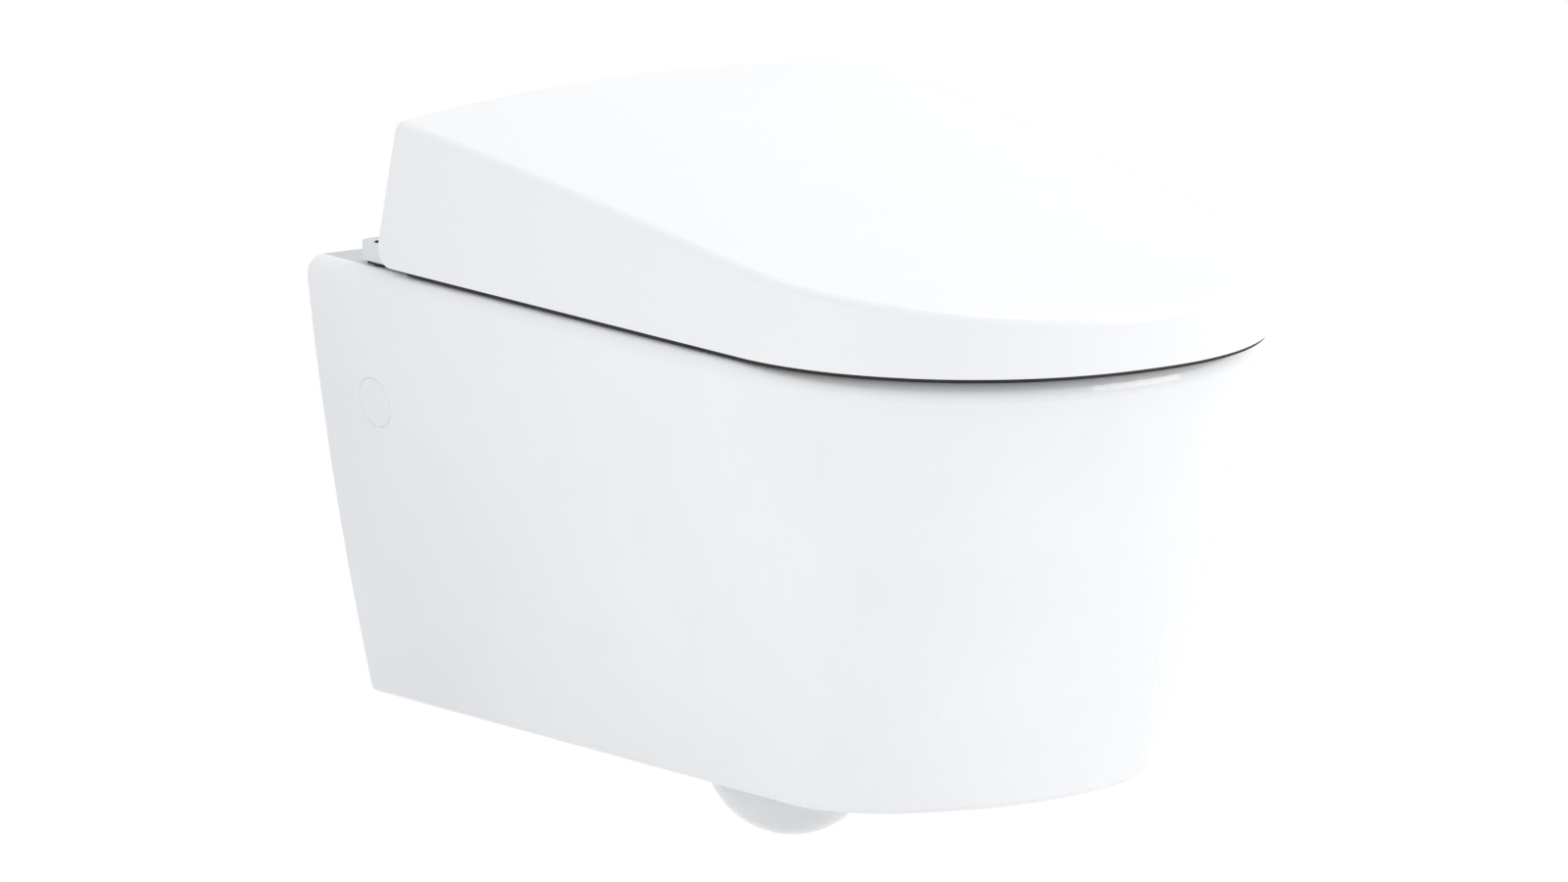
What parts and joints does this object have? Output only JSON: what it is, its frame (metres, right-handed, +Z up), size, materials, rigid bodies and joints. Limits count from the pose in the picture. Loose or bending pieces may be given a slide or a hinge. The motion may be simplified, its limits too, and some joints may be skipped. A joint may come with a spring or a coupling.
{
  "type": "wall-hung shower toilet with heated seat",
  "caption": "Wall-hung ceramic pan with a full skirt, a heated seat, a soft-closing crowned lid and a sliding spray arm under it.",
  "frame": {"origin": "midway between the two wall studs, on the wall face", "axes": "+X across the width, +Y into the wall (the front faces -Y), +Z up"},
  "size_m": [0.3712, 0.5689, 0.426],
  "materials": {
    "glazed_ceramic": "glossy glaze",
    "white_plastic": "glossy moulded",
    "cap_plastic": "glossy moulded",
    "tray_plastic": "satin moulded",
    "grey_plastic": "satin moulded",
    "black_plastic": "satin moulded",
    "button_plastic": "satin moulded",
    "graphite_plastic": "satin moulded",
    "spray_plastic": "glossy moulded",
    "smoked_window": "polished",
    "lamp_lens": "frosted",
    "steel": "brushed",
    "inlet_brass": "machined",
    "heater_foil": "foil",
    "circuit_board": "lacquered",
    "black_rubber": "moulded",
    "grey_rubber": "moulded"
  },
  "bodies": {
    "pan": {"ceramic_pan": "glazed_ceramic", "side_cap_left": "cap_plastic", "side_cap_right": "cap_plastic", "fixing_sleeves": "grey_plastic", "side_screws": "steel", "flush_collar": "black_rubber", "unit_tray": "tray_plastic", "deck_pads": "black_rubber", "deck_bolts": "steel", "deck_nuts": "black_rubber", "housing_cover": "white_plastic", "presence_sensor": "smoked_window", "night_light": "lamp_lens", "hinge_shafts": "steel", "seat_damper": "grey_plastic", "lid_damper": "grey_plastic", "hinge_brackets": "grey_plastic", "arm_guide": "grey_plastic", "heater_tank": "grey_plastic", "water_pump": "black_plastic", "control_board": "circuit_board", "valve_block": "black_plastic", "water_inlet": "inlet_brass", "power_gland": "black_plastic", "odour_filter": "black_plastic", "fan_housing": "black_plastic"},
    "fan": {"fan_rotor": "grey_plastic"},
    "flush_key": {"flush_button": "button_plastic"},
    "clean_key": {"clean_button": "button_plastic"},
    "spray": {"spray_arm": "spray_plastic"},
    "nozzle": {"spray_nozzle": "steel"},
    "seat": {"seat_top": "white_plastic", "seat_base": "graphite_plastic", "seat_heater": "heater_foil", "seat_buffers": "grey_rubber"},
    "lid": {"lid_shell": "white_plastic", "lid_buffers": "grey_rubber"}
  },
  "joints": [
    {"name": "seat_hinge", "type": "hinge", "parent": "pan", "child": "seat", "pos_m": [0, -0.083, 0.142], "axis": [1, 0, 0], "range_deg": [-95, 0]},
    {"name": "lid_hinge", "type": "hinge", "parent": "seat", "child": "lid", "pos_m": [0, -0.083, 0.142], "axis": [-1, 0, 0], "range_deg": [0, 100]},
    {"name": "spray_slide", "type": "slide", "parent": "pan", "child": "spray", "axis": [0, -0.8192, -0.5736], "range_m": [0, 0.07]},
    {"name": "nozzle_slide", "type": "slide", "parent": "spray", "child": "nozzle", "axis": [0, -0.8192, -0.5736], "range_m": [0, 0.05]},
    {"name": "fan_spin", "type": "hinge", "parent": "pan", "child": "fan", "pos_m": [0.112, -0.186, 0.095], "axis": [0, 0, 1], "continuous": true},
    {"name": "flush_press", "type": "slide", "parent": "pan", "child": "flush_key", "axis": [0, 0.1296, -0.9916], "range_m": [0, 0.0015], "stiffness_N_per_m": 400, "springref_m": -0.0006},
    {"name": "clean_press", "type": "slide", "parent": "pan", "child": "clean_key", "axis": [0, 0.1296, -0.9916], "range_m": [0, 0.0015], "stiffness_N_per_m": 400, "springref_m": -0.0006}
  ],
  "couplings": [
    {"joint": "nozzle_slide", "follows": "spray_slide", "ratio": 0.71429}
  ]
}
